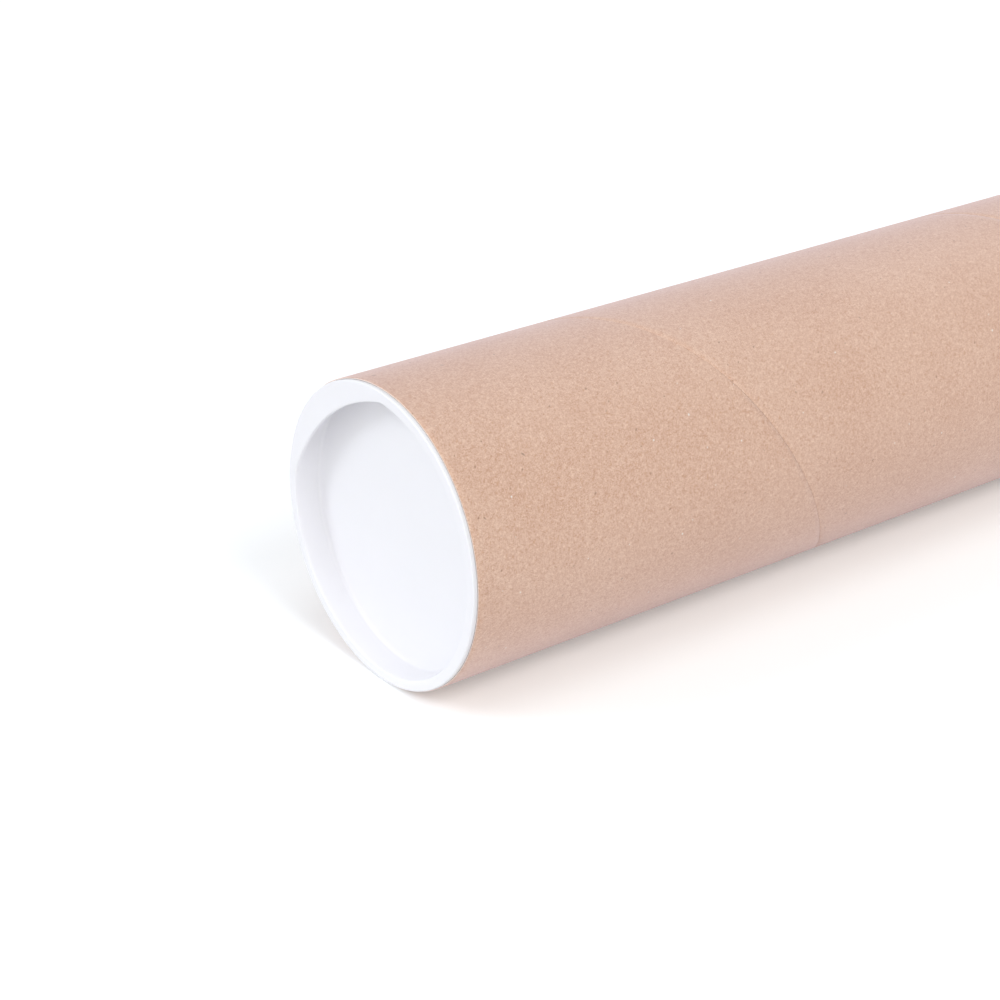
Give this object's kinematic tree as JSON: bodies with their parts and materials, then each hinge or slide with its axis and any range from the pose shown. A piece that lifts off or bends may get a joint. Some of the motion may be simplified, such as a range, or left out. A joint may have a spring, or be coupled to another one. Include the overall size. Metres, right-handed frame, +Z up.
{
  "type": "drawing tube",
  "caption": "Round spiral-wound paper tube for rolled drawings, closed at both ends by push-in plastic plugs with a recessed face and a pull lip.",
  "frame": {"origin": "on the surface the tube lies on, below the middle of its length", "axes": "+X along the tube towards the far end, +Z up, +Y towards the back"},
  "size_m": [0.6374, 0.08, 0.08],
  "materials": {
    "kraft_paper": "matt uncoated brown kraft paper with fine fibres",
    "core_board": "matt recycled paperboard",
    "liner_paper": "matt brown paper",
    "white_plug": "satin moulded white polyethylene"
  },
  "bodies": {
    "tube": {"outer_kraft_ply": "kraft_paper", "core_ply_1": "core_board", "core_ply_2": "core_board", "core_ply_3": "core_board", "core_ply_4": "core_board", "inner_liner_ply": "liner_paper"},
    "near_plug": {"near_end_plug": "white_plug"},
    "far_plug": {"far_end_plug": "white_plug"}
  },
  "joints": [
    {"name": "near_plug_pull", "type": "slide", "parent": "tube", "child": "near_plug", "axis": [-1, 0, 0], "range_m": [0, 0.03]},
    {"name": "far_plug_pull", "type": "slide", "parent": "tube", "child": "far_plug", "axis": [1, 0, 0], "range_m": [0, 0.03]}
  ]
}
